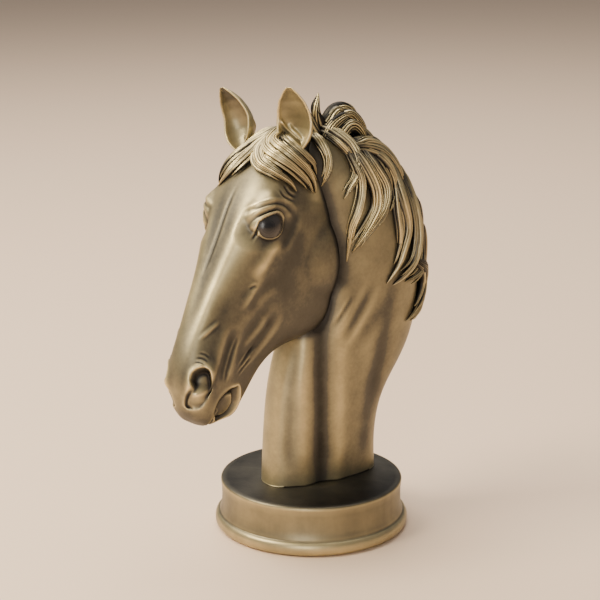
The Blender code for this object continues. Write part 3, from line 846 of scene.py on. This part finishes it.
# Locks laid on the neck: marks (y, z, lift), half width, thickness
UPPER_LEFT = (
    (((-6, 265, 2), (-2, 259, 3), (1, 250, 2), (0, 241, 1), (-3, 233, .5)), 3.2, 3.0),
    (((-1, 267, 4), (8, 263, 4), (17, 256, 4), (21, 247, 3), (20, 237, 2), (15, 230, 1),
      (11, 224, .5)), 4.0, 3.8),
    (((4, 263, 2), (12, 257, 3), (18, 249, 2), (19, 240, 1), (16, 231, .5)), 2.6, 2.8),
    (((13, 258, 3), (21, 240, 3), (22, 228, 2), (19, 216, 2), (16, 207, 1), (14, 197, 1),
      (12, 183, .5)), 3.4, 3.4),
    (((16, 258, 4), (25, 244, 4), (32, 230, 4), (33, 218, 3), (28, 208, 2), (22, 199, 2),
      (16, 189, .5)), 4.6, 4.2),
    (((24, 256, 4), (33, 240, 4), (39, 227, 4), (37, 214, 3), (30, 204, 2), (23, 195, .5)), 4.2, 4.0),
)
MIDDLE_LEFT = (
    (((32, 252, 4), (41, 243, 5), (47, 233, 4), (49, 223, 2), (45, 213, .5)), 3.8, 3.8),
    (((38, 250, 4), (48, 236, 4), (53, 218, 4), (57, 201, 3), (54, 187, 2),
      (50, 176, 1.5), (42, 165, .5)), 4.2, 4.0),
    (((44, 246, 3), (48, 230, 3), (49, 214, 2), (51, 200, 2), (52, 188, 1), (49, 177, .5)), 2.4, 2.8),
    (((50, 244, 5), (59, 226, 5), (65, 208, 5), (67, 192, 4), (64, 178, 3), (56, 170, 2),
      (47, 164, .5)), 4.6, 4.2),
)
LOWER_LEFT = (
    (((60, 226, 5), (67, 210, 5), (72, 197, 4), (76, 183, 3), (74, 173, 3), (67, 166, 2),
      (58, 163, .5)), 4.4, 4.2),
    (((68, 214, 5), (75, 198, 5), (79, 186, 4), (77, 175, 3), (70, 168, 1)), 3.8, 3.8),
    (((68, 176, 3), (75, 168, 4), (78, 158, 4), (75, 148, 3), (69, 141, 2), (61, 136, .5)), 4.4, 4.2),
    (((76, 178, 4), (82, 166, 4), (83, 152, 4), (79, 140, 3), (71, 134, .5)), 4.2, 4.0),
)
CREST = (
    (((10, 264, 4), (20, 265, 6), (31, 261, 6), (41, 254, 5), (48, 244, 3)), 4.4, 4.6),
    (((18, 256, 4), (31, 253, 5), (43, 246, 6), (54, 234, 5), (62, 219, 3)), 4.6, 4.6),
    (((34, 258, 4), (45, 249, 5), (55, 239, 5), (63, 227, 5), (69, 212, 3)), 4.6, 4.6),
    (((52, 240, 4), (61, 229, 5), (69, 214, 5), (75, 198, 4), (78, 184, 3)), 4.6, 4.6),
    (((64, 226, 4), (72, 211, 5), (79, 194, 5), (82, 178, 5), (81, 164, 3)), 4.4, 4.4),
    (((76, 204, 5), (82, 188, 6), (86, 170, 5), (85, 154, 4), (80, 140, 2)), 4.4, 4.4),
)
RIGHT = (
    (((-4, 265, 3), (0, 256, 3), (6, 244, 2), (10, 230, .5)), 4.0, 3.6),
    (((8, 266, 4), (14, 252, 3), (20, 238, 2), (20, 222, .5)), 4.4, 3.8),
    (((22, 262, 4), (28, 248, 3), (34, 232, 2), (30, 214, .5)), 4.6, 4.0),
    (((36, 256, 4), (44, 240, 4), (48, 224, 3), (42, 206, .5)), 4.6, 4.0),
    (((48, 248, 4), (58, 230, 4), (60, 212, 3), (54, 194, .5)), 4.8, 4.0),
    (((60, 236, 4), (69, 218, 4), (70, 200, 3), (62, 180, .5)), 4.8, 4.2),
    (((70, 220, 4), (78, 202, 4), (77, 184, 3), (69, 166, .5)), 4.8, 4.2),
    (((78, 202, 4), (84, 184, 4), (82, 166, 3), (74, 148, .5)), 4.8, 4.2),
)
# Free locks: marks (x, y, z), half width, thickness, strands
POLL_TUFT = (
    (((4, 6, 262), (4, 3, 272), (3, 1, 281), (2, 3, 290)), 3.4, 3.0, 3),
    (((6, 2, 262), (5, -2, 270), (4, -5, 276), (3, -8, 280)), 3.0, 2.8, 3),
    (((2, 4, 262), (4, 8, 270), (5, 13, 276), (3, 19, 277), (0, 24, 274)), 4.2, 3.6, 5),
    (((8, 4, 258), (9, 8, 266), (9, 14, 272), (7, 21, 275), (4, 28, 273)), 4.0, 3.4, 5),
    (((-4, 10, 266), (-3, 17, 275), (-3, 26, 277), (-4, 33, 271), (-4, 37, 261)), 4.8, 4.0, 5),
    (((3, 12, 264), (4, 19, 272), (3, 27, 274), (3, 34, 267), (4, 38, 258)), 4.6, 3.8, 5),
    (((10, 10, 258), (11, 16, 265), (10, 24, 268), (9, 32, 263), (9, 38, 255)), 4.4, 3.6, 5),
    (((-8, 6, 260), (-9, 14, 269), (-9, 24, 271), (-9, 34, 264), (-8, 42, 254)), 4.6, 3.8, 5),
)
TUFT_FACING = np.array((0.9, -0.3, 0.3))
# Falls of the forelock: marks (a, angle, lift), half width, thickness
FORELOCK_LEFT = (
    (((-12, 6, -1), (-3, 9, -1), (7, 11, 1), (13, 20, 3), (17, 36, 4), (18, 54, 3),
      (21, 72, 2), (25, 86, .5)), 4.2, 4.0),
    (((-12, 0, -1), (-3, 2, -1), (8, 5, 1), (17, 13, 3), (22, 26, 4), (23, 44, 3),
      (24, 62, 2.5), (27, 80, 1)), 4.0, 4.0),
    (((-11, -3, -1), (-2, -1, -1.5), (11, 3, 1), (20, 8, 3), (28, 17, 3.5), (31, 29, 3),
      (32, 42, 2), (34, 54, .5)), 4.2, 3.8),
    (((-1, 16, -1), (4, 22, 1), (8, 32, 2.5), (10, 46, 3), (11, 62, 2), (15, 76, .5)), 3.4, 3.2),
)
FORELOCK_RIGHT = (
    (((-11, -6, -1), (-2, -5, -1.5), (12, -4, 1), (21, -2, 2.5), (30, -6, 3),
      (38, -14, 2), (44, -22, .5)), 3.8, 3.4),
    (((-12, -8, -1), (-3, -10, -1), (9, -14, 1), (18, -18, 2.5), (27, -26, 3),
      (35, -35, 2), (41, -45, .5)), 4.2, 3.6),
    (((-12, -12, -1), (-3, -17, -1), (6, -26, 1), (12, -36, 2.5), (18, -50, 2), (24, -64, .5)), 4.0, 3.6),
)


def make_hair(head, neck):
    """All hair, one piece for each CAD casting of it."""
    def left(hair, marks, width, thick):
        hair.side_lock(marks, width, thick, 1)

    def right(hair, marks, width, thick):
        hair.side_lock(marks, width, thick, -1)

    def crest(hair, marks, width, thick):
        left(hair, marks, width, thick)
        right(hair, [(y, z, lift - 1) for y, z, lift in marks], width, thick)

    def brow(hair, marks, width, thick):
        hair.brow_lock(head, marks, width, thick)

    def tuft(hair, marks, width, thick, strands):
        hair.free_lock(marks, TUFT_FACING, width, thick, strands)

    made = {}
    for name, rows, lay in (
            ("mane_upper_left", UPPER_LEFT, left), ("mane_middle_left", MIDDLE_LEFT, left),
            ("mane_lower_left", LOWER_LEFT, left), ("mane_right", RIGHT, right),
            ("mane_crest_upper", CREST[:3], crest), ("mane_crest_lower", CREST[3:], crest),
            ("mane_poll_tuft", POLL_TUFT, tuft),
            ("forelock_left", FORELOCK_LEFT, brow), ("forelock_right", FORELOCK_RIGHT, brow)):
        hair = Hair(name, (head, neck))
        for row in rows:
            lay(hair, *row)
        made[name] = hair.finish()
    return made


# ---- plinth ----
# Outline in (radius, height), down the outside to the bead and back up the inside
PLINTH_SIDE = ((4.3, 33), (40, 33), (56, 33), (59, 32.9), (60, 32.5), (60.5, 31.6), (60.4, 30),
               (59.9, 26), (59.8, 21), (60, 16), (60.6, 12.5), (61.3, 10.8), (61.4, 10))
PLINTH_INSIDE = ((60.5, 0.5), (58.4, 0.5), (58.4, 4.2), (55, 4.2), (55, 26.5), (53, 28.5), (4.3, 28.5))


def make_plinth():
    """Turned plinth with a bead foot and a hollow underside."""
    turns = [math.radians(d) for d in range(80, -91, -10)]
    bead = [(61.5 + 3 * math.cos(turn), 5 + 4.5 * math.sin(turn)) for turn in turns]
    profile = (*PLINTH_SIDE, *bead, *PLINTH_INSIDE)
    edges = [(i, (i + 1) % len(profile)) for i in range(len(profile))]
    item = make_object("plinth_casting_skin", [(r, 0, z) for r, z in profile], (), edges)
    modify(item, "SCREW", steps=160, render_steps=160, use_merge_vertices=True,
           merge_threshold=0.00001)
    item.data.shade_smooth()
    item.data.set_sharp_from_angle(angle=math.radians(40))
    return item


# ---- materials ----
class Nodes:
    """Short way to wire a material."""

    def __init__(self, name):
        self.material = bpy.data.materials.new(name)
        self.material.use_nodes = True
        self.tree = self.material.node_tree
        self.shader = self.tree.nodes["Principled BSDF"]
        self.place = self.tree.nodes.new("ShaderNodeTexCoord").outputs["Object"]

    def feed(self, value, socket):
        """Link a socket or set its value."""
        if isinstance(value, bpy.types.NodeSocket):
            self.tree.links.new(value, socket)
        else:
            socket.default_value = value

    def node(self, kind, **inputs):
        """A node with its inputs, which are values or links."""
        made = self.tree.nodes.new(kind)
        for key, value in inputs.items():
            self.feed(value, made.inputs[key.replace("_", " ")])
        return made

    def stored(self, name):
        """A value stored for each vertex."""
        made = self.node("ShaderNodeAttribute")
        made.attribute_name = name
        return made.outputs["Fac"]

    def upward(self, vector):
        """The vertical part of a vector."""
        return self.node("ShaderNodeSeparateXYZ", Vector=vector).outputs["Z"]

    def noise(self, scale, detail):
        """Grey noise over the object's own coordinates."""
        return self.node("ShaderNodeTexNoise", Vector=self.place, Scale=scale, Detail=detail,
                         Roughness=0.6).outputs["Fac"]

    def ramp(self, value, stops):
        """Colour picked along stops of (position, colour)."""
        made = self.node("ShaderNodeValToRGB", Fac=value)
        marks = made.color_ramp.elements
        marks.remove(marks[0])
        for k, (position, colour) in enumerate(stops):
            stop = marks.new(position) if k else marks[0]
            stop.position = position
            stop.color = (*colour, 1)
        return made.outputs["Color"]

    def math(self, operation, a, b):
        """One step of arithmetic."""
        made = self.node("ShaderNodeMath")
        made.operation = operation
        for socket, value in zip(made.inputs, (a, b)):
            self.feed(value, socket)
        return made.outputs[0]

    def total(self, first, *rest):
        """Sum of several values."""
        for value in rest:
            first = self.math("ADD", first, value)
        return first

    def scaled(self, value, factor, centre=0.0):
        """A value's distance from a centre, times a factor."""
        if centre:
            value = self.math("SUBTRACT", value, centre)
        return self.math("MULTIPLY", value, factor)

    def map(self, value, **ranges):
        """A value moved from one range to another."""
        return self.node("ShaderNodeMapRange", Value=value, **ranges).outputs[0]

    def shade(self, socket, value):
        """Give the shader one of its inputs."""
        self.feed(value, self.shader.inputs[socket])

    def bump(self, height, strength, distance):
        """Fine surface from a height."""
        made = self.node("ShaderNodeBump", Height=height, Strength=strength, Distance=distance)
        self.shade("Normal", made.outputs["Normal"])


DARK = (0.022, 0.020, 0.018)
OLIVE = (0.100, 0.091, 0.072)
GOLD = (0.34, 0.288, 0.168)
PALE = (0.76, 0.62, 0.33)
SKIN_STOPS = ((0.14, DARK), (0.42, OLIVE), (0.64, GOLD), (0.90, PALE))
LOCK_STOPS = ((0.12, DARK), (0.33, OLIVE), (0.53, GOLD), (0.76, PALE))
PLINTH_STOPS = ((0.08, DARK), (0.34, OLIVE), (0.58, GOLD), (0.85, PALE))
EYE_STOPS = ((0.0, (0.050, 0.044, 0.040)), (0.5, (0.032, 0.030, 0.031)), (0.9, (0.016, 0.016, 0.018)))


def bronze(name, stops, metal, rough):
    """Antique bronze: dark in the hollows and pale where the patina wears off the high places, with
    painted shade on faces turned downwards; its stored values also carry painted highlight and shade.
    """
    n = Nodes(name)
    relief = n.stored("relief")
    blotch = n.noise(28, 5)
    fine = n.noise(420, 3)
    up = n.upward(n.node("ShaderNodeNewGeometry").outputs["Normal"])
    # Faces turned downwards are darkened: painted shade.
    painted_underside_shade = n.math("MAXIMUM", n.scaled(up, -1.0), 0.0)
    wear_and_painted_light = n.total(relief, n.scaled(blotch, 0.34, 0.5), n.scaled(fine, 0.10, 0.5),
                   n.scaled(painted_underside_shade, -0.30))
    n.shade("Base Color", n.ramp(wear_and_painted_light, stops))
    n.shade("Metallic", metal)
    n.shade("Roughness", n.map(wear_and_painted_light, To_Min=rough[1], To_Max=rough[0]))
    n.bump(n.math("ADD", n.noise(900, 2), n.scaled(n.noise(120, 3), 2.0)), 0.12, 0.0004)
    return n.material


def plain(name, low, high, scale, metal, rough, depth):
    """Simple varied finish for hardware, felt and iron."""
    n = Nodes(name)
    grain = n.noise(scale, 4)
    n.shade("Base Color", n.ramp(grain, ((0.3, low), (0.7, high))))
    n.shade("Metallic", metal)
    n.shade("Roughness", n.map(grain, To_Min=rough[0], To_Max=rough[1]))
    n.bump(grain, depth, 0.0004)
    return n.material


def plinth_bronze():
    """Plinth patina: dark top, rubbed rim and bead, streaked band."""
    n = Nodes("plinth_patina")
    geometry = n.node("ShaderNodeNewGeometry")
    height = n.upward(n.place)
    top = n.upward(geometry.outputs["Normal"])
    edge = n.map(geometry.outputs["Pointiness"], From_Min=0.49, From_Max=0.56)
    blotch = n.noise(22, 5)
    stretched = n.node("ShaderNodeMapping", Vector=n.place, Scale=(1, 1, 0.2))
    streak = n.node("ShaderNodeTexNoise", Vector=stretched.outputs[0], Scale=90, Detail=3).outputs["Fac"]
    bead = n.map(height, From_Min=0.0105, From_Max=0.0085)
    above = n.map(height, From_Min=0.029, From_Max=0.032)
    flat = n.math("MULTIPLY", n.math("MAXIMUM", top, 0.0), above)
    tone = n.total(n.scaled(blotch, 0.4), n.scaled(streak, 0.12), 0.16, n.scaled(edge, 0.40),
                   n.scaled(bead, 0.07), n.scaled(flat, -0.42))
    n.shade("Base Color", n.ramp(tone, PLINTH_STOPS))
    n.shade("Metallic", 0.78)
    n.shade("Roughness", n.map(tone, To_Min=0.52, To_Max=0.34))
    n.bump(n.math("ADD", n.noise(700, 2), n.scaled(blotch, 2.0)), 0.12, 0.0005)
    return n.material


def eye_material():
    """Dark patinated eye, darker at the pupil."""
    n = Nodes("eye_patina")
    pupil = n.stored("pupil")
    shade = n.math("ADD", pupil, n.scaled(n.noise(240, 3), 0.25, 0.5))
    n.shade("Base Color", n.ramp(shade, EYE_STOPS))
    n.shade("Metallic", 0.2)
    n.shade("Roughness", n.map(shade, To_Min=0.34, To_Max=0.2))
    return n.material


# ---- assembly ----
def paint(item, material):
    """Give an object its one material."""
    item.data.materials.clear()
    item.data.materials.append(material)


def install(item, slot, material, *nodes):
    """Finish a piece: paint it, hang it on the root body and hide the CAD parts it stands for; its slot
    is not used.
    """
    paint(item, material)
    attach(item, "root")
    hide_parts(*nodes)


def make_eyeball(name, side):
    """Eyeball with its pupil stored for the patina."""
    centre = on_side(EYE, side)
    item = ball(name, centre, (EYE_R,) * 3, 64)
    away = read_points(item.data) - centre
    turn = np.degrees(np.arccos(np.clip(away @ unit(toward(PUPIL_OUT, side)) / EYE_R, -1, 1)))
    keep_values(item.data, "pupil", 1 - step_up(*PUPIL_EDGE, turn))
    return item


skin_bronze = bronze("bronze_patina", SKIN_STOPS, 0.72, (0.38, 0.52))
lock_bronze = bronze("hair_patina", LOCK_STOPS, 0.8, (0.26, 0.5))

head_clay = make_head()
neck_clay = make_neck()
SIDES = (("left", 1), ("right", -1))
eyeballs = {side: make_eyeball("eyeball_" + name, side) for name, side in SIDES}
# The neck and the eyeballs darken the head's skin near them, and the head darkens the neck's: patina and
# painted shade in the gaps.
eye_edges = [(Clay(item).tree, 0.7) for item in eyeballs.values()]
head_clay.store([(neck_clay.tree, 2.0)] + eye_edges, SKIN_GAIN, HEAD_BASE_TONE)
neck_clay.store([(head_clay.tree, 3.5)], SKIN_GAIN, NECK_BASE_TONE)
install(head_clay.item, "bronze", skin_bronze, "bust_casting")
install(neck_clay.item, "bronze", skin_bronze, "bust_casting")
eye_patina = eye_material()
for name, side in SIDES:
    install(eyeballs[side], "eye", eye_patina, "eye_" + name)
    install(make_ear("ear_skin_" + name, side), "bronze", skin_bronze, "ear_" + name)
for name, piece in make_hair(head_clay, neck_clay).items():
    piece.name = name + "_locks"
    install(piece, "bronze_locks", lock_bronze, name)
install(make_plinth(), "plinth", plinth_bronze(), "plinth_casting")

# Finishes of the CAD's own pieces: dark and light colour, grain, metal, roughness, depth
by_slot = {
    "steel": plain("zinc_steel", (0.42, 0.42, 0.43), (0.62, 0.62, 0.63), 160, 1.0, (0.28, 0.45), 0.1),
    "iron": plain("cast_iron", (0.05, 0.05, 0.055), (0.16, 0.15, 0.15), 220, 0.8, (0.55, 0.8), 0.6),
    "felt": plain("felt", (0.02, 0.028, 0.024), (0.05, 0.062, 0.055), 900, 0.0, (0.85, 1.0), 0.8),
}
for part in frame["record"]["subparts"]:
    if part["material_slot"] in by_slot:
        paint(frame["nodes"][part["node"]], by_slot[part["material_slot"]])

# ---- stage, light and camera ----
FLOOR_COLOUR = (0.86, 0.66, 0.50)
WORLD_COLOUR = (0.90, 0.87, 0.86)
WORLD_STRENGTH = 0.26
LAMP_AIM = (0, 0, 0.17)
CAMERA_PLACE = (0.9689, -0.5371, 0.4612)
CAMERA_DOWN, CAMERA_TURN = 15.5, 61.39      # degrees below level, and round from facing +Y
CAMERA_LENS = 105.7

bpy.ops.mesh.primitive_plane_add(size=8)
floor = bpy.context.object
floor.name = "floor"
floor_finish = bpy.data.materials.new("pale_floor")
floor_finish.use_nodes = True
floor_inputs = floor_finish.node_tree.nodes["Principled BSDF"].inputs
floor_inputs["Base Color"].default_value = (*FLOOR_COLOUR, 1)
floor_inputs["Roughness"].default_value = 0.8
floor.data.materials.append(floor_finish)

world = bpy.data.worlds.new("studio")
bpy.context.scene.world = world
world.use_nodes = True
backdrop = world.node_tree.nodes["Background"].inputs
backdrop["Color"].default_value = (*WORLD_COLOUR, 1)
backdrop["Strength"].default_value = WORLD_STRENGTH


def softbox(name, place, size, power, colour):
    """Rectangular lamp aimed at the bust."""
    lamp = bpy.data.lights.new(name, "AREA")
    lamp.shape = "RECTANGLE"
    lamp.size, lamp.size_y = size
    lamp.energy = power
    lamp.color = colour
    item = add(name, lamp)
    item.location = place
    item.rotation_euler = (Vector(LAMP_AIM) - Vector(place)).to_track_quat("-Z", "Y").to_euler()


softbox("key", (-0.15, -1.00, 1.25), (0.7, 0.7), 32, (1, 0.89, 0.67))
softbox("top", (-0.8, 0.15, 2.0), (2.0, 2.0), 62, (1, 0.92, 0.80))
softbox("front", (1.15, -0.95, 0.50), (0.4, 0.8), 8.5, (1, 0.96, 0.88))

lens = bpy.data.cameras.new("camera")
lens.lens = CAMERA_LENS
lens.sensor_width = 36
camera = add("camera", lens)
camera.location = CAMERA_PLACE
camera.rotation_euler = (math.radians(90 - CAMERA_DOWN), 0, math.radians(CAMERA_TURN))
bpy.context.scene.camera = camera
